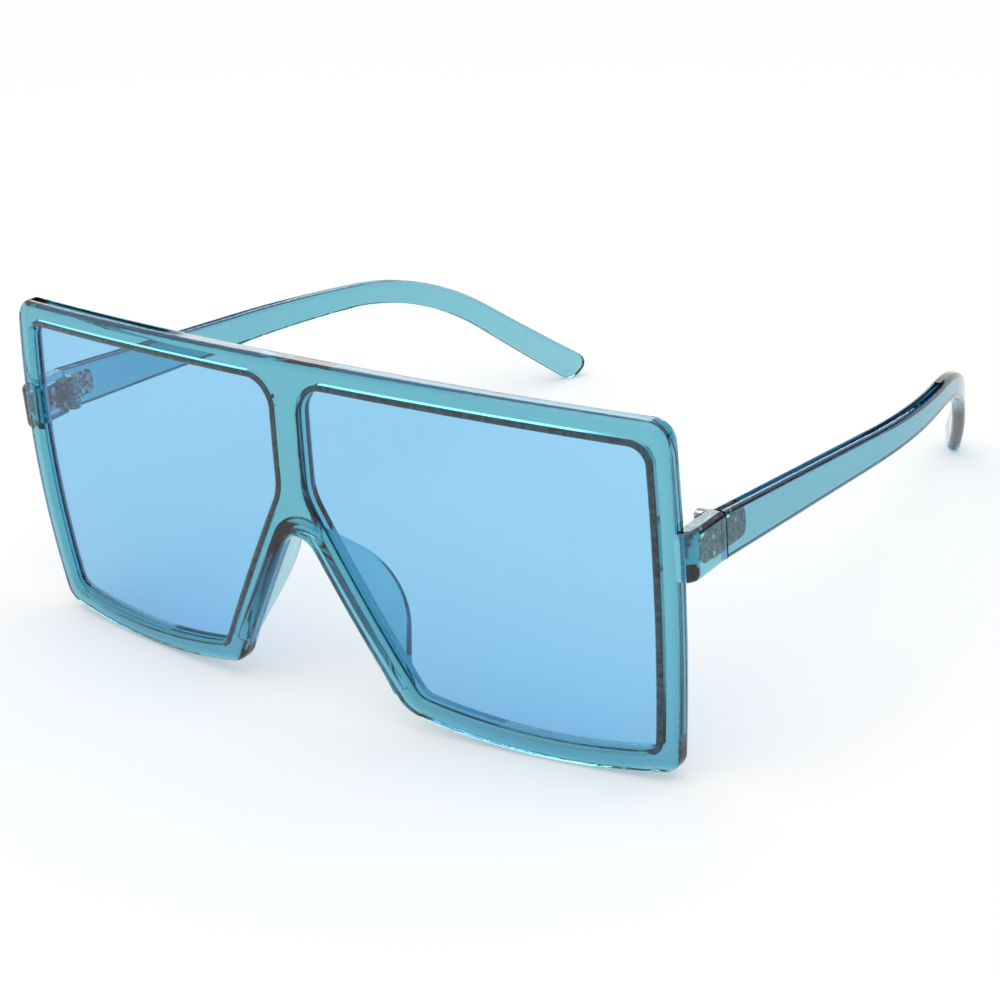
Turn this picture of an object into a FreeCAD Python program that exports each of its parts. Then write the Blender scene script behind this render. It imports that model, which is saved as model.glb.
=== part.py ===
import FreeCAD, Part
import math
import os

from FreeCAD import Vector

# Oversized sunglasses: one moulded front, two lenses sprung into it, two temples on metal hinges.
# +X is the right as seen from ahead, +Y runs back along the temples, +Z is up. The glasses stand
# open on a flat surface, on both lower rims and both temple tips. All sizes are in millimetres.

# Front, seen from ahead
front_width = 146.0
front_height = 66.0
top_corner_drop = 2.0
top_corner_inset = 1.2
widest_height_share = 0.6
bottom_corner_inset = 2.4
bottom_corner_rise = 1.9
nose_foot_spread = 38.0
nose_foot_rise = 3.3
nose_apex_drop = 28.1
top_corner_radius = 4.0
bottom_corner_radius = 3.5
nose_foot_radius = 6.0
nose_arch_radius = 4.2

# Front, seen from the side: the whole face is part of one ball
face_radius = 345.0
rim_thickness = 4.0
rim_front_round = 1.4
rim_back_round = 1.2

# Lens openings
top_rim_width = 4.5
side_rim_width = 4.2
bottom_rim_width = 4.2
leg_width = 4.8
bridge_bar_width = 6.6
opening_top_inner_radius = 5.0
opening_top_outer_radius = 3.2
opening_bottom_outer_radius = 2.5
opening_bottom_inner_radius = 3.0
opening_knee_radius = 10.0
opening_front_round = 0.8

# Lenses, with their sharp edges taken off, and the groove that holds them
lens_thickness = 1.5
lens_setback = 1.3
lens_edge_bevel = 0.2
groove_depth = 1.0
lens_clearance = 0.05

# Nose rest: a tapering wall behind both legs and the arch that swells back to the two pads.
# Its peak is where the slopes below and above a pad would meet, before the pad is rounded.
rest_flare_angle = 13.0
rest_taper_angle = 4.0
rest_thickness = 2.8
rest_root_depth = 1.9
rest_foot_offset = 3.6
rest_foot_depth = 5.8
rest_heel_depth = 6.2
rest_peak_depth = 15.5
rest_top_depth = 5.0
rest_heel_share = 0.19
rest_peak_share = 0.59
rest_top_share = 0.895
rest_heel_radius_share = 0.23
rest_peak_radius_share = 0.335
rest_top_radius_share = 0.116
rest_edge_round = 0.6

# Endpieces, which turn back from the rim to the hinges
endpiece_overhang = 2.7
endpiece_thickness = 3.0
endpiece_front_height = 8.9
endpiece_front_setback = 0.4
endpiece_corner_radius = 3.0
endpiece_edge_round = 1.2
endpiece_overlap = 3.0
joint_depth = 19.2
joint_drop = 24.2
joint_gap = 0.3

# Temples
temple_root_height = 8.7
temple_bend_height = 4.4
temple_tip_height = 6.3
temple_slope_angle = 5.5
temple_droop_angle = 42.5
temple_bend_distance = 102.0
temple_bend_radius = 55.0
temple_straight_length = 50.0
temple_wrap_radius = 152.0
temple_edge_round = 1.0
tip_round_share = 0.42

# Hinges
hinge_axis_offset = 1.6
knuckle_count = 3
knuckle_radius = 1.3
knuckle_height = 2.0
knuckle_gap = 0.1
arm_length = 2.4
arm_clearance = 0.05
leaf_thickness = 1.1
leaf_proud = 0.1
leaf_height = 5.0
leaf_setback = 0.3
leaf_corner_radius = 1.6
leaf_clearance = 0.05
front_leaf_length = 6.2
temple_leaf_length = 6.5
screw_radius = 0.6
screw_head_radius = 1.05
screw_head_height = 0.6
screw_head_round = 0.2
screw_tail = 0.3
screw_slot_width = 0.3
screw_slot_depth = 0.3
running_clearance = 0.03
pin_radius = 0.45
pin_head_radius = 0.75
pin_head_height = 0.3
pin_head_round = 0.2
pin_bite = 1.2
pin_spacing = 2.8
pin_joint_distance = 3.4

# How far cuts run past what they cut, and how exactly two places have to agree
overrun = 5.0
same_place = 0.001

# Places worked out from the sizes above
half_width = front_width / 2
half_overall = half_width + endpiece_overhang
top_corner = (half_width - top_corner_inset, front_height - top_corner_drop)
widest = (half_width, front_height * widest_height_share)
bottom_corner = (half_width - bottom_corner_inset, bottom_corner_rise)
nose_foot = (nose_foot_spread / 2, nose_foot_rise)
nose_apex = (0, front_height - nose_apex_drop)
lowest = ((bottom_corner[0] + nose_foot[0]) / 2, 0)
ball_centre = Vector(0, face_radius, front_height / 2)
joint_height = front_height - joint_drop
leg_rise = nose_apex[1] - nose_foot[1]
leg_length = math.hypot(nose_foot[0], leg_rise)
leg_along = (-nose_foot[0] / leg_length, leg_rise / leg_length)
leg_outward = (leg_along[1], -leg_along[0])
inner_face = half_overall - endpiece_thickness
hinge_axis = inner_face - hinge_axis_offset
hinge_stack = knuckle_count * knuckle_height + (knuckle_count - 1) * knuckle_gap
hinge_bottom = joint_height - hinge_stack / 2
sideways = Vector(1, 0, 0)
upward = Vector(0, 0, 1)


def circle_through(a, b, c):
    """Centre and radius of the circle through three points of a plane."""
    ux, uy = b[0] - a[0], b[1] - a[1]
    vx, vy = c[0] - a[0], c[1] - a[1]
    cross = 2 * (ux * vy - uy * vx)
    u_square = ux * ux + uy * uy
    v_square = vx * vx + vy * vy
    x = (vy * u_square - uy * v_square) / cross
    y = (ux * v_square - vx * u_square) / cross
    return a[0] + x, a[1] + y, math.hypot(x, y)


top_circle = circle_through((-top_corner[0], top_corner[1]), (0, front_height), top_corner)
side_circle = circle_through(top_corner, widest, bottom_corner)
bottom_circle = circle_through(bottom_corner, lowest, nose_foot)
ground = bottom_circle[1] - bottom_circle[2]


def top_height(x, inset):
    """Height of the top edge at x, or of the line that runs that far inside it."""
    return top_circle[1] + math.sqrt((top_circle[2] - inset) ** 2 - (x - top_circle[0]) ** 2)


def side_place(z, inset):
    """Half width of the front at height z, or of the line that runs that far inside its edge."""
    return side_circle[0] + math.sqrt((side_circle[2] - inset) ** 2 - (z - side_circle[1]) ** 2)


def bottom_height(x, inset):
    """Height of the lower edge at x, or of the line that runs that far inside it."""
    return bottom_circle[1] - math.sqrt((bottom_circle[2] - inset) ** 2 - (x - bottom_circle[0]) ** 2)


def near(shape, other):
    return shape.distToShape(other)[0] < same_place


def is_straight(edge, direction):
    """True for a straight edge that runs along the direction."""
    if not isinstance(edge.Curve, Part.Line):
        return False
    return edge.Curve.Direction.cross(direction).Length < same_place * direction.Length


def closed_wire(corners, bows, place):
    """Closed outline through the corners; a side with a bow point is an arc through it."""
    edges = []
    for index, start in enumerate(corners):
        end = corners[(index + 1) % len(corners)]
        if bows[index] is None:
            edges.append(Part.LineSegment(place(start), place(end)).toShape())
        else:
            edges.append(Part.Arc(place(start), place(bows[index]), place(end)).toShape())
    return Part.Wire(edges)


def prism(corners, place, along, bows=None, radii=None):
    """An outline swept along a vector, with some of its corners rounded."""
    bows = bows or [None] * len(corners)
    radii = radii or [0] * len(corners)
    solid = Part.Face(closed_wire(corners, bows, place)).extrude(along)
    for corner, radius in zip(corners, radii):
        if radius:
            spot = Part.Vertex(place(corner))
            swept = [e for e in solid.Edges if is_straight(e, along) and near(e, spot)]
            solid = solid.makeFillet(radius, swept)
    return solid


def mirrored(shape, side):
    """What is modelled on the right, or its mirror image on the left."""
    if side == "right":
        return shape
    return shape.mirror(Vector(), sideways)


def ball(inset):
    """The ball that the front's face is part of, or one that far inside it."""
    return Part.makeSphere(face_radius - inset, ball_centre)


def edges_on_ball(solid, inset):
    """Edges of a solid that lie on the ball that far inside the face."""
    found = []
    for edge in solid.Edges:
        middle = edge.valueAt((edge.FirstParameter + edge.LastParameter) / 2)
        spots = [middle] + [v.Point for v in edge.Vertexes]
        if all(abs((s - ball_centre).Length - face_radius + inset) < same_place for s in spots):
            found.append(edge)
    return found


def face_depth(x, z):
    """How far the face lies behind its foremost point at a place seen from ahead."""
    return face_radius - math.sqrt(face_radius ** 2 - x ** 2 - (z - ball_centre.z) ** 2)


def ahead(point):
    """A point of an outline seen from ahead, placed clear of the face."""
    return Vector(point[0], -overrun, point[1])


def front_prism(corners, bows, radii):
    """An outline seen from ahead, swept back through the whole front."""
    return prism(corners, ahead, Vector(0, joint_depth + overrun, 0), bows, radii)


def opening_prism(grow):
    """The right lens opening swept from front to back, grown by that much all round."""
    bar = bridge_bar_width / 2 - grow
    top = top_rim_width - grow
    side = side_rim_width - grow
    bottom = bottom_rim_width - grow
    leg = leg_width - grow
    leg_start = (nose_foot[0] + leg_outward[0] * leg, nose_foot[1] + leg_outward[1] * leg)

    def on_leg(distance):
        return leg_start[0] + leg_along[0] * distance, leg_start[1] + leg_along[1] * distance

    to_centre = (bottom_circle[0] - leg_start[0], bottom_circle[1] - leg_start[1])
    beside = to_centre[0] * leg_along[0] + to_centre[1] * leg_along[1]
    apart = to_centre[0] * leg_outward[0] + to_centre[1] * leg_outward[1]
    inner_low = on_leg(beside - math.sqrt((bottom_circle[2] - bottom) ** 2 - apart ** 2))
    knee = on_leg((bar - leg_start[0]) / leg_along[0])
    inner_top = (bar, top_height(bar, top))
    outer_top_x = side_place(top_corner[1] - top, side)
    outer_top = (outer_top_x, top_height(outer_top_x, top))
    outer_low_x = side_place(bottom_corner[1] + bottom, side)
    outer_low = (outer_low_x, bottom_height(outer_low_x, bottom))
    top_x = (inner_top[0] + outer_top[0]) / 2
    low_x = (inner_low[0] + outer_low[0]) / 2
    corners = [inner_top, outer_top, outer_low, inner_low, knee]
    bows = [(top_x, top_height(top_x, top)), (side_place(widest[1], side), widest[1]),
            (low_x, bottom_height(low_x, bottom)), None, None]
    radii = [opening_top_inner_radius + grow, opening_top_outer_radius + grow,
             opening_bottom_outer_radius + grow, opening_bottom_inner_radius + grow,
             opening_knee_radius - grow]
    return front_prism(corners, bows, radii)


def lens_solid(clearance):
    """The right lens, or with a clearance the space that it takes in its groove."""
    front = lens_setback - clearance
    back = lens_setback + lens_thickness + clearance
    solid = opening_prism(groove_depth + clearance).common(ball(front)).cut(ball(back))
    bevel = lens_edge_bevel + clearance * (2 - math.sqrt(2))
    return solid.makeChamfer(bevel, edges_on_ball(solid, front) + edges_on_ball(solid, back))


def rim_solid():
    """The moulded face with its two openings and their lens grooves."""
    left = [(-x, z) for x, z in (top_corner, widest, bottom_corner, lowest, nose_foot)]
    corners = [left[0], top_corner, bottom_corner, nose_foot, nose_apex, left[4], left[2]]
    bows = [(0, front_height), widest, lowest, None, None, left[3], left[1]]
    radii = [top_corner_radius, top_corner_radius, bottom_corner_radius, nose_foot_radius,
             nose_arch_radius, nose_foot_radius, bottom_corner_radius]
    rim = front_prism(corners, bows, radii).common(ball(0)).cut(ball(rim_thickness))
    rim = rim.makeFillet(rim_front_round, edges_on_ball(rim, 0))
    rim = rim.makeFillet(rim_back_round, edges_on_ball(rim, rim_thickness))
    for side in ("left", "right"):
        opening = mirrored(opening_prism(0), side)
        rim = rim.cut(opening)
        wall = opening.Shells[0]
        brink = [e for e in edges_on_ball(rim, 0) if all(near(v, wall) for v in e.Vertexes)]
        rim = rim.makeFillet(opening_front_round, brink)
        rim = rim.cut(mirrored(lens_solid(lens_clearance), side))
    return rim


def rest_outline(depth):
    """Outline of the nose rest's wall at a depth, which flares and tapers from its root."""
    behind = depth - rest_root_depth
    inner = math.tan(math.radians(rest_flare_angle)) * behind
    outer = inner + rest_thickness - math.tan(math.radians(rest_taper_angle)) * behind
    arch_centre = nose_apex[1] - nose_arch_radius / leg_outward[1]
    angle = math.atan2(leg_outward[1], leg_outward[0])

    def arch(radius, turn):
        return radius * math.cos(turn), arch_centre + radius * math.sin(turn)

    def foot(out):
        return (nose_foot[0] + leg_outward[0] * out + leg_along[0] * rest_foot_offset,
                nose_foot[1] + leg_outward[1] * out + leg_along[1] * rest_foot_offset)

    small = nose_arch_radius + inner
    large = nose_arch_radius + outer
    half = [foot(inner), arch(small, angle), arch(large, angle), foot(outer)]
    left = [(-x, z) for x, z in half]
    corners = [half[0], half[1], left[1], left[0], left[3], left[2], half[2], half[3]]
    bows = [None, arch(small, math.pi / 2), None, None, None, arch(large, math.pi / 2), None, None]
    return closed_wire(corners, bows, lambda point: Vector(point[0], depth, point[1]))


def nose_rest():
    """The wall that stands on the nose: it flares out behind the legs and is deepest at the pads."""
    wall = Part.makeLoft([rest_outline(rest_root_depth), rest_outline(rest_peak_depth)], True, True)

    def at_share(share):
        return nose_foot[1] + leg_rise * share

    def profile(point):
        return Vector(-half_width, point[0], point[1])

    corners = [(rest_root_depth, 0), (rest_foot_depth, 0),
               (rest_heel_depth, at_share(rest_heel_share)),
               (rest_peak_depth, at_share(rest_peak_share)),
               (rest_top_depth, at_share(rest_top_share)),
               (rest_top_depth, front_height), (rest_root_depth, front_height)]
    radius_shares = [0, 0, rest_heel_radius_share, rest_peak_radius_share, rest_top_radius_share, 0, 0]
    radii = [leg_rise * share for share in radius_shares]
    limit = prism(corners, profile, sideways * front_width, radii=radii)
    rest = wall.common(limit)
    back = [e for e in rest.Edges if not is_straight(e, sideways)
            and all(v.Point.y > rest_root_depth + same_place for v in e.Vertexes)]
    return rest.makeFillet(rest_edge_round, back)


def endpiece():
    """The right endpiece, from inside the rim round to the joint with the temple."""
    side = side_place(joint_height, 0)
    inside = side - endpiece_overlap
    front = face_depth(side, joint_height) + endpiece_front_setback
    inner_front = front + endpiece_thickness
    butt = joint_depth - joint_gap / 2
    tall = endpiece_front_height / 2
    low = temple_root_height / 2
    inside_back = face_depth(inside, joint_height - tall) + rim_thickness

    def plan(point):
        return Vector(point[0], point[1], joint_height - tall)

    def profile(point):
        return Vector(inside, point[0], joint_height + point[1])

    corners = [(inside, front), (half_overall, front), (half_overall, butt), (inner_face, butt),
               (inner_face, inner_front), (inside, inside_back)]
    radii = [0, endpiece_corner_radius, 0, 0, 0, 0]
    bent = prism(corners, plan, upward * endpiece_front_height, radii=radii)
    taper = [(front, tall), (butt, low), (butt, -low), (front, -tall)]
    solid = bent.common(prism(taper, profile, sideways * (half_overall - inside)))

    def on_skin(vertex):
        return vertex.Y < inner_front - same_place or vertex.X > inner_face + same_place

    def at_end(edge):
        return (all(abs(v.Y - butt) < same_place for v in edge.Vertexes)
                or all(abs(v.X - inside) < same_place for v in edge.Vertexes))

    skin_edges = [e for e in solid.Edges if not is_straight(e, upward) and not at_end(e)
                  and all(on_skin(v) for v in e.Vertexes)]
    return solid.makeFillet(endpiece_edge_round, skin_edges)


def temple_blank():
    """The right temple: a side profile that droops to the tip, bent in plan to wrap the head."""
    butt = joint_depth + joint_gap / 2
    slope = math.radians(temple_slope_angle)
    droop = math.radians(temple_droop_angle)
    bend = (butt + temple_bend_distance * math.cos(slope),
            joint_height - temple_bend_distance * math.sin(slope))
    root_half = temple_root_height / 2
    bend_half = temple_bend_height / 2 / math.cos((droop - slope) / 2)
    tip_half = temple_tip_height / 2
    tip_round = temple_tip_height * tip_round_share
    tip_z = ground + (tip_half - tip_round) * math.cos(droop) + tip_round * (1 - math.sin(droop))
    tip = (bend[0] + (bend[1] - tip_z) / math.tan(droop), tip_z)

    def beside(point, out, tilt):
        return point[0] + out * math.sin(tilt), point[1] + out * math.cos(tilt)

    def profile(point):
        return Vector(0, point[0], point[1])

    between = (slope + droop) / 2
    corners = [(butt, joint_height + root_half), beside(bend, bend_half, between),
               beside(tip, tip_half, droop), beside(tip, -tip_half, droop),
               beside(bend, -bend_half, between), (butt, joint_height - root_half)]
    bend_inside = temple_bend_radius - temple_bend_height / 2
    radii = [0, temple_bend_radius + temple_bend_height / 2, tip_round, tip_round, bend_inside, 0]
    side_view = prism(corners, profile, sideways * (half_overall + overrun), radii=radii)

    wrap_start = butt + temple_straight_length
    wrap = math.asin((tip[0] + temple_tip_height - wrap_start) / temple_wrap_radius)

    def wrapped(turn, inward):
        return (half_overall - temple_wrap_radius * (1 - math.cos(turn)) - inward,
                wrap_start + temple_wrap_radius * math.sin(turn))

    def plan(point):
        return Vector(point[0], point[1], -overrun)

    strip = [(half_overall, butt), wrapped(0, 0), wrapped(wrap, 0), wrapped(wrap, endpiece_thickness),
             wrapped(0, endpiece_thickness), (inner_face, butt)]
    bows = [None, wrapped(wrap / 2, 0), None, wrapped(wrap / 2, endpiece_thickness), None, None]
    plan_view = prism(strip, plan, upward * (front_height + overrun), bows)
    solid = side_view.common(plan_view)
    long_edges = [e for e in solid.Edges if not is_straight(e, sideways) and not is_straight(e, upward)]
    return solid.makeFillet(temple_edge_round, long_edges)


def leaf_plate(back, length, grow):
    """Plate of a hinge leaf, or the pocket for it: back is 1 on the temple and -1 on the front."""
    start = joint_depth + back * (joint_gap / 2 + leaf_setback)
    if grow:
        start = joint_depth
    end = joint_depth + back * (joint_gap / 2 + leaf_setback + length + grow)
    half = leaf_height / 2 + grow

    def place(point):
        return Vector(inner_face - leaf_proud, point[0], joint_height + point[1])

    corners = [(start, -half), (end, -half), (end, half), (start, half)]
    radii = [0, leaf_corner_radius + grow, leaf_corner_radius + grow, 0]
    return prism(corners, place, sideways * (leaf_thickness + grow), radii=radii)


def pin_places(back):
    """Where the two pins of a leaf enter it."""
    depth = joint_depth + back * pin_joint_distance
    return [Vector(inner_face - leaf_proud, depth, joint_height + up * pin_spacing / 2) for up in (-1, 1)]


def pin_holes(back):
    """Holes for the two pins, through the leaf and into the plastic."""
    holes = [Part.makeCylinder(pin_radius + running_clearance,
                               leaf_thickness + pin_bite + running_clearance, spot, sideways)
             for spot in pin_places(back)]
    return holes[0].fuse(holes[1])


def circles_off(solid, spot, direction):
    """Round edges of a solid whose centres lie off a spot, measured along a direction."""
    return [e for e in solid.Edges if isinstance(e.Curve, Part.Circle)
            and abs((e.Curve.Center - spot).dot(direction)) > same_place]


def pin_solid(spot):
    """One rivet pin with a low rounded head on the leaf."""
    shank = Part.makeCylinder(pin_radius, leaf_thickness + pin_bite, spot, sideways)
    head = Part.makeCylinder(pin_head_radius, pin_head_height, spot - sideways * pin_head_height, sideways)
    head = head.makeFillet(pin_head_round, circles_off(head, spot, sideways))
    return shank.fuse(head).removeSplitter()


def leaf_solid(back, length, rows):
    """A hinge leaf with its knuckles in the given rows, counted from the lowest."""
    solid = leaf_plate(back, length, 0)
    for row in rows:
        base = hinge_bottom + row * (knuckle_height + knuckle_gap)
        centre = Vector(hinge_axis, joint_depth, base)
        solid = solid.fuse(Part.makeCylinder(knuckle_radius, knuckle_height, centre))
        arm = Part.makeBox(hinge_axis_offset - arm_clearance, arm_length, knuckle_height, centre)
        if back < 0:
            arm.translate(Vector(0, -arm_length, 0))
        solid = solid.fuse(arm)
    bore = Part.makeCylinder(screw_radius + running_clearance, hinge_stack,
                             Vector(hinge_axis, joint_depth, hinge_bottom))
    return solid.cut(bore).cut(pin_holes(back)).removeSplitter()


def screw_solid():
    """The hinge screw, its slotted head seated on the top knuckle."""
    top = Vector(hinge_axis, joint_depth, hinge_bottom + hinge_stack)
    shank_length = hinge_stack + screw_tail
    shank = Part.makeCylinder(screw_radius, shank_length, top - upward * shank_length)
    head = Part.makeCylinder(screw_head_radius, screw_head_height, top)
    head = head.makeFillet(screw_head_round, circles_off(head, top, upward))
    slot = Part.makeBox(2 * screw_head_radius, screw_slot_width, screw_slot_depth,
                        top + Vector(-screw_head_radius, -screw_slot_width / 2,
                                     screw_head_height - screw_slot_depth))
    return shank.fuse(head).cut(slot).removeSplitter()


def hinge_pieces():
    """The metal pieces of the right hinge by name."""
    rows = range(knuckle_count)
    pieces = {"front_hinge_leaf": leaf_solid(-1, front_leaf_length, rows[0::2]),
              "temple_hinge_leaf": leaf_solid(1, temple_leaf_length, rows[1::2]),
              "hinge_screw": screw_solid()}
    for half, back in (("front", -1), ("temple", 1)):
        for level, spot in zip(("lower", "upper"), pin_places(back)):
            pieces[half + "_hinge_" + level + "_pin"] = pin_solid(spot)
    return pieces


def front_solid():
    """The one-piece moulded front: rim, nose rest and endpieces with their hinge pockets."""
    front = rim_solid().fuse(nose_rest())
    end = endpiece()
    pocket = leaf_plate(-1, front_leaf_length, leaf_clearance).fuse(pin_holes(-1))
    for side in ("left", "right"):
        front = front.fuse(mirrored(end, side)).cut(mirrored(pocket, side))
    return front.removeSplitter()


def temple_solid():
    """The right temple with the pocket for its hinge leaf."""
    return temple_blank().cut(leaf_plate(1, temple_leaf_length, leaf_clearance)).cut(pin_holes(1))


pieces = {"front_frame": front_solid()}
right_pieces = {"lens": lens_solid(0), "temple": temple_solid()}
right_pieces.update(hinge_pieces())
for side in ("left", "right"):
    for name, shape in right_pieces.items():
        pieces[side + "_" + name] = mirrored(shape, side)

# The origin is on the surface that the glasses stand on, below the middle of their box
front_box = pieces["front_frame"].optimalBoundingBox(False)
temple_box = pieces["right_temple"].optimalBoundingBox(False)
to_origin = Vector(0, -(front_box.YMin + temple_box.YMax) / 2, -ground)
os.makedirs("parts", exist_ok=True)
for name, shape in pieces.items():
    shape.translate(to_origin)
    shape.exportStep("parts/" + name + ".step")
    print(name, len(shape.Solids), shape.isValid(), round(shape.Volume, 2))
print("hinge axis", hinge_axis, joint_depth + to_origin.y, "moved by", to_origin)
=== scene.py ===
import math

import bpy
from mathutils import Matrix, Vector


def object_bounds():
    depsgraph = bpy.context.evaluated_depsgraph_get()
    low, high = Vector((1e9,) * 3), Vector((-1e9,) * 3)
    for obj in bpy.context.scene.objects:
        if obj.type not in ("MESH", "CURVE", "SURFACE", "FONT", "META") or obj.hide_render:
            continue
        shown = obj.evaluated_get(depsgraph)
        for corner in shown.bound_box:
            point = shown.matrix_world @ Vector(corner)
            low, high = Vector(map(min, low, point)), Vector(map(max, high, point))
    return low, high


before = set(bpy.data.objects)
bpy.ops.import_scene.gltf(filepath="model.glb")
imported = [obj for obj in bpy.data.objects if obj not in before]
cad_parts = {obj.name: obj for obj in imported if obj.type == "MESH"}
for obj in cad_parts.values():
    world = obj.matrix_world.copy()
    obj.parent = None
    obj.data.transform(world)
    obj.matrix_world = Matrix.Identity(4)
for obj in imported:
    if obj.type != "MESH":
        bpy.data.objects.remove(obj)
cad_low, cad_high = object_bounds()

# The camera: azimuth round from the front towards the right and elevation up from level, in degrees,
# and the place that it aims at, in metres from the front's foremost point and the ground
view_azimuth = 38.08
view_elevation = 24.21
view_roll = -4.99
view_distance = 0.4476
aim_across = 0.00525
aim_behind_front = 0.0516
aim_height = 0.02065
lens_length_mm = 85.17
sensor_width_mm = 36.0

# The floor, its glow where it is seen, and the fill light of the surroundings
white = (1, 1, 1, 1)
floor_half = 3.0
floor_drop = 0.00002
floor_colour = (0.86, 0.86, 0.86, 1)
floor_glow = 0.2
world_fill = 0.7

# A large lamp above and before the glasses
key_size = (2.2, 2.2)
key_place = (0.1, -0.55, 1.95)
key_power = 15.0

# A long lamp behind and to the left, just above the card, that shiny faces mirror, with its azimuth and
# elevation measured as the camera's are
strip_size = (1.6, 0.42)
strip_azimuth = 215.0
strip_elevation = 29.0
strip_distance = 1.5
strip_power = 5.489

# A dark card that stands low round the back of the studio and gives the clear plastic its dark edges,
# with its angles in degrees up from level and out to each side
card_distance = 1.5
card_low_angle = 10.0
card_high_angle = 20.0
card_side_angle = 80.0
card_side_steps = 12
card_colour = (0.02, 0.02, 0.02, 1)

# Plastics: how strongly each millimetre of depth absorbs red, green and blue, the tint of the lamp light
# that gets through, and a faint uneven haze
front_loss_per_mm = (0.46, 0.165, 0.118)
temple_loss_per_mm = (0.55, 0.21, 0.148)
lens_loss_per_mm = (0.75, 0.275, 0.072)
mm_per_metre = 1000.0
plastic_ior = 1.53
frame_shadow_tint = (0.8, 0.89, 0.91, 1)
lens_shadow_tint = (0.92, 0.965, 0.985, 1)
frame_haze_scale = 90.0
lens_haze_scale = 60.0
haze_roughness = 0.05

# The ball that the face and the lenses are part of
face_radius = 0.345
face_middle_height = 0.033

# The ground edge of a lens, picked out by how little its faces look along the ball's radius; its dark tone
# is painted shade for the groove it sits in
edge_painted_shade_tone = (0.07, 0.13, 0.165)
edge_roughness = 0.6
edge_grain_scale = 900.0
edge_dark_share = 0.3
edge_facing_share = 0.6

# The groove wall before a lens, painted dark as painted shade: its depth behind the face, and how far it
# looks back
seat_from_depth = 0.0011
seat_to_depth = 0.0016
seat_facing_share = 0.2

# Metals
leaf_tone = (0.42, 0.44, 0.46)
leaf_roughness = 0.3
screw_tone = (0.72, 0.72, 0.73)
screw_roughness = 0.2
metal_grain_scale = 1300.0
metal_dark_share = 0.1
metal_dent_depth = 0.00012
metal_polish_spread = 2.0

# The noise of all finishes, and where on it the two tones of a mottled finish stop and start
noise_detail = 4.0
noise_roughness = 0.6
mottle_from_share = 0.42
mottle_to_share = 0.6


def node_of(tree, kind, **values):
    """A new shader node with some of its inputs set."""
    node = tree.nodes.new(kind)
    for name, value in values.items():
        node.inputs[name.replace("_", " ")].default_value = value
    return node


def new_material(name):
    """An empty node material and its output."""
    material = bpy.data.materials.new(name)
    material.use_nodes = True
    material.node_tree.nodes.clear()
    return material, material.node_tree.nodes.new("ShaderNodeOutputMaterial")


def noise(tree, scale):
    """A fine cloudy noise fixed to the piece."""
    place = tree.nodes.new("ShaderNodeTexCoord")
    cloud = node_of(tree, "ShaderNodeTexNoise", Scale=scale, Detail=noise_detail, Roughness=noise_roughness)
    tree.links.new(place.outputs["Object"], cloud.inputs["Vector"])
    return cloud.outputs["Fac"]


def two_tones(tree, value, dark_share, light):
    """A colour between a tone and a darker share of it, by a noise value."""
    dark = [part * dark_share for part in light]
    ramp = tree.nodes.new("ShaderNodeValToRGB")
    ramp.color_ramp.elements[0].position = mottle_from_share
    ramp.color_ramp.elements[0].color = (*dark, 1)
    ramp.color_ramp.elements[1].position = mottle_to_share
    ramp.color_ramp.elements[1].color = (*light, 1)
    tree.links.new(value, ramp.inputs["Fac"])
    return ramp.outputs["Color"]


def reckon(tree, operation, value, other):
    """A value worked out from a value and another one or a number."""
    node = tree.nodes.new("ShaderNodeMath")
    node.operation = operation
    tree.links.new(value, node.inputs[0])
    if isinstance(other, float):
        node.inputs[1].default_value = other
    else:
        tree.links.new(other, node.inputs[1])
    return node.outputs["Value"]


def seen_rays(tree, strength):
    """A value that is strength for rays that end in the picture, directly, mirrored or through glass."""
    path = tree.nodes.new("ShaderNodeLightPath")
    seen = path.outputs["Is Camera Ray"]
    for name in ("Is Glossy Ray", "Is Transmission Ray"):
        seen = reckon(tree, "MAXIMUM", seen, path.outputs[name])
    return reckon(tree, "MULTIPLY", seen, strength)


def clear_plastic(name, loss_per_mm, shadow_tint, haze_scale):
    """Polished see-through plastic, coloured by its depth, that lets lamps through with a tint."""
    material, output = new_material(name)
    tree = material.node_tree
    link = tree.links.new
    shader = node_of(tree, "ShaderNodeBsdfPrincipled", Base_Color=white, Transmission_Weight=1.0,
                     IOR=plastic_ior)
    haze = node_of(tree, "ShaderNodeMapRange", To_Min=0.0, To_Max=haze_roughness)
    link(noise(tree, haze_scale), haze.inputs["Value"])
    link(haze.outputs["Result"], shader.inputs["Roughness"])
    lamp_light = node_of(tree, "ShaderNodeBsdfTransparent", Color=shadow_tint)
    path = tree.nodes.new("ShaderNodeLightPath")
    mix = tree.nodes.new("ShaderNodeMixShader")
    link(path.outputs["Is Shadow Ray"], mix.inputs["Fac"])
    link(shader.outputs["BSDF"], mix.inputs[1])
    link(lamp_light.outputs["BSDF"], mix.inputs[2])
    link(mix.outputs["Shader"], output.inputs["Surface"])
    strongest = max(loss_per_mm)
    kept = [1 - loss / strongest for loss in loss_per_mm]
    absorption = node_of(tree, "ShaderNodeVolumeAbsorption", Color=(*kept, 1),
                         Density=strongest * mm_per_metre)
    link(absorption.outputs["Volume"], output.inputs["Volume"])
    return material


def ground_edge_with_painted_shade(name):
    """The matt ground edge of a tinted lens, with a dark tone that is painted shade for its groove."""
    material, output = new_material(name)
    tree = material.node_tree
    shader = node_of(tree, "ShaderNodeBsdfPrincipled", Roughness=edge_roughness)
    tone = two_tones(tree, noise(tree, edge_grain_scale), edge_dark_share, edge_painted_shade_tone)
    tree.links.new(tone, shader.inputs["Base Color"])
    tree.links.new(shader.outputs["BSDF"], output.inputs["Surface"])
    return material


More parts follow.
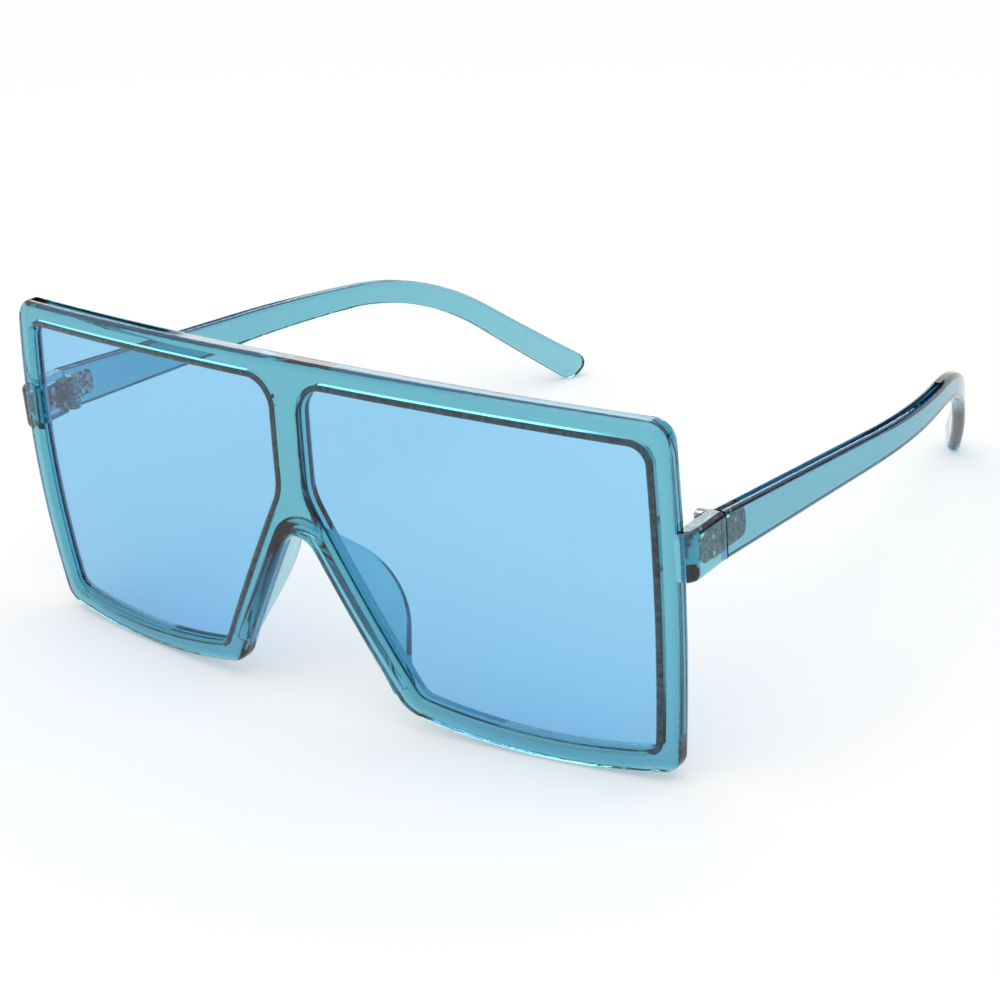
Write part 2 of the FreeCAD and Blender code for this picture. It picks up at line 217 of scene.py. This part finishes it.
def metal(name, tone, roughness):
    """Plated metal, dented and mottled by being pressed into warm plastic."""
    material, output = new_material(name)
    tree = material.node_tree
    link = tree.links.new
    shader = node_of(tree, "ShaderNodeBsdfPrincipled", Metallic=1.0)
    grain = noise(tree, metal_grain_scale)
    link(two_tones(tree, grain, metal_dark_share, tone), shader.inputs["Base Color"])
    polish = node_of(tree, "ShaderNodeMapRange", To_Min=roughness / metal_polish_spread,
                     To_Max=roughness * metal_polish_spread)
    link(grain, polish.inputs["Value"])
    link(polish.outputs["Result"], shader.inputs["Roughness"])
    dents = node_of(tree, "ShaderNodeBump", Strength=1.0, Distance=metal_dent_depth)
    link(grain, dents.inputs["Height"])
    link(dents.outputs["Normal"], shader.inputs["Normal"])
    link(shader.outputs["BSDF"], output.inputs["Surface"])
    return material


def floor_paper(name):
    """Pale paper that keeps shadows and glows a little where it is seen."""
    material, output = new_material(name)
    tree = material.node_tree
    link = tree.links.new
    paper = node_of(tree, "ShaderNodeBsdfDiffuse", Color=floor_colour)
    glow = node_of(tree, "ShaderNodeEmission", Color=white)
    link(seen_rays(tree, floor_glow), glow.inputs["Strength"])
    both = tree.nodes.new("ShaderNodeAddShader")
    link(paper.outputs["BSDF"], both.inputs[0])
    link(glow.outputs["Emission"], both.inputs[1])
    link(both.outputs["Shader"], output.inputs["Surface"])
    return material


def card_cloth(name):
    """Plain dark cloth."""
    material, output = new_material(name)
    tree = material.node_tree
    cloth = node_of(tree, "ShaderNodeBsdfDiffuse", Color=card_colour)
    tree.links.new(cloth.outputs["BSDF"], output.inputs["Surface"])
    return material


def new_sheet(name, points, faces, material):
    """A flat or bent sheet of the studio."""
    mesh = bpy.data.meshes.new(name)
    mesh.from_pydata(points, [], faces)
    mesh.materials.append(material)
    sheet = bpy.data.objects.new(name, mesh)
    bpy.context.scene.collection.objects.link(sheet)
    return sheet


def make_floor():
    """A pale floor just under the glasses."""
    level = cad_low.z - floor_drop
    corners = [(x * floor_half, y * floor_half, level) for x, y in ((-1, -1), (1, -1), (1, 1), (-1, 1))]
    floor = new_sheet("floor", corners, [(0, 1, 2, 3)], floor_paper("floor_paper"))


def make_card():
    """A dark card round the back, which shows only inside clear plastic and in polished metal."""
    steps = range(-card_side_steps, card_side_steps + 1)
    turns = [math.radians(card_side_angle * step / card_side_steps) for step in steps]
    points = []
    for lift in (card_low_angle, card_high_angle):
        rise = card_distance * math.tan(math.radians(lift))
        for turn in turns:
            points.append((card_distance * math.sin(turn), card_distance * math.cos(turn), rise))
    row = len(turns)
    panels = [(low, low + 1, row + low + 1, row + low) for low in range(row - 1)]
    card = new_sheet("card", points, panels, card_cloth("card_cloth"))
    card.visible_camera = False
    card.visible_diffuse = False
    card.visible_shadow = False


def make_world():
    """White surroundings for what is seen, and a plain fill for what is lit."""
    world = bpy.data.worlds.new("studio")
    bpy.context.scene.world = world
    world.use_nodes = True
    tree = world.node_tree
    tree.nodes.clear()
    output = tree.nodes.new("ShaderNodeOutputWorld")
    back = node_of(tree, "ShaderNodeBackground", Color=white)
    level = reckon(tree, "ADD", seen_rays(tree, 1.0 - world_fill), world_fill)
    tree.links.new(level, back.inputs["Strength"])
    tree.links.new(back.outputs["Background"], output.inputs["Surface"])


def towards(azimuth, elevation):
    """The direction at an azimuth from the front and an elevation from level, in degrees."""
    turn = math.radians(azimuth)
    lift = math.radians(elevation)
    return Vector((math.sin(turn) * math.cos(lift), -math.cos(turn) * math.cos(lift), math.sin(lift)))


def make_lamp(name, place, size, power):
    """A soft lamp that looks at the middle of the ground under the glasses."""
    lamp = bpy.data.lights.new(name, "AREA")
    lamp.shape = "RECTANGLE"
    lamp.size, lamp.size_y = size
    lamp.energy = power
    holder = bpy.data.objects.new(name, lamp)
    holder.location = place
    holder.rotation_euler = (-place).to_track_quat("-Z", "Y").to_euler()
    bpy.context.scene.collection.objects.link(holder)
    return holder


def make_lamps():
    """The large lamp, and the long one, which is mirrored but lights no matt face."""
    make_lamp("key", Vector(key_place), key_size, key_power)
    strip_place = towards(strip_azimuth, strip_elevation) * strip_distance
    strip = make_lamp("strip", strip_place, strip_size, strip_power)
    strip.visible_camera = False
    strip.visible_diffuse = False


def make_camera():
    """The camera at the photograph's angle."""
    back = towards(view_azimuth, view_elevation)
    level = Vector((0, 0, 1)).cross(back).normalized()
    right = Matrix.Rotation(math.radians(view_roll), 3, back) @ level
    axes = Matrix((right, back.cross(right), back)).transposed().to_4x4()
    aim = Vector((aim_across, cad_low.y + aim_behind_front, cad_low.z + aim_height))
    camera = bpy.data.objects.new("camera", bpy.data.cameras.new("camera"))
    camera.data.lens = lens_length_mm
    camera.data.sensor_width = sensor_width_mm
    camera.matrix_world = Matrix.Translation(aim + back * view_distance) @ axes
    bpy.context.scene.collection.objects.link(camera)
    bpy.context.scene.camera = camera


def give(node, *materials):
    """Gives a node these materials in place of its own."""
    node.data.materials.clear()
    for material in materials:
        node.data.materials.append(material)


def dress(endings, material):
    """Gives a material to the nodes whose names end so."""
    for name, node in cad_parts.items():
        if name.endswith(endings):
            give(node, material)


def from_ball_middle(place):
    """The way from the middle of the face's ball to a place."""
    return Vector(place) - Vector((0, cad_low.y + face_radius, cad_low.z + face_middle_height))


def facing(polygon):
    """How far a polygon looks out from the face's ball: 1 is out, 0 is along it and -1 is in."""
    return from_ball_middle(polygon.center).normalized().dot(polygon.normal)


def dress_lens(name, clear, edge):
    """Gives a lens its clear faces and its ground edge, whose dark tone is painted shade."""
    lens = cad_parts[name]
    give(lens, clear, edge)
    for polygon in lens.data.polygons:
        polygon.material_index = int(abs(facing(polygon)) < edge_facing_share)


def dress_front(clear, shaded):
    """Gives the front its clear plastic, with painted shade on the groove walls before the lenses."""
    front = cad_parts["front_frame"]
    give(front, clear, shaded)
    # The groove wall faces before each lens take the second, dark material as painted shade
    for polygon in front.data.polygons:
        depth = face_radius - from_ball_middle(polygon.center).length
        looks_back = facing(polygon) < -seat_facing_share
        polygon.material_index = int(seat_from_depth < depth < seat_to_depth and looks_back)


bpy.context.scene.view_settings.view_transform = "Standard"
make_world()
make_floor()
make_card()
make_lamps()
make_camera()

# A dark matt finish whose dark tone is painted shade, used on the lens edges and on the front's groove
# walls
lens_edge_and_painted_seat_shade = ground_edge_with_painted_shade("lens_edge_and_painted_seat_shade")
front_plastic = clear_plastic("front_plastic", front_loss_per_mm, frame_shadow_tint, frame_haze_scale)
dress_front(front_plastic, lens_edge_and_painted_seat_shade)
lens_plastic = clear_plastic("lens_plastic", lens_loss_per_mm, lens_shadow_tint, lens_haze_scale)
for side in ("left", "right"):
    dress_lens(side + "_lens", lens_plastic, lens_edge_and_painted_seat_shade)
temple_plastic = clear_plastic("temple_plastic", temple_loss_per_mm, frame_shadow_tint, frame_haze_scale)
dress(("_temple",), temple_plastic)
dress(("_leaf",), metal("hinge_metal", leaf_tone, leaf_roughness))
dress(("_screw", "_pin"), metal("screw_metal", screw_tone, screw_roughness))
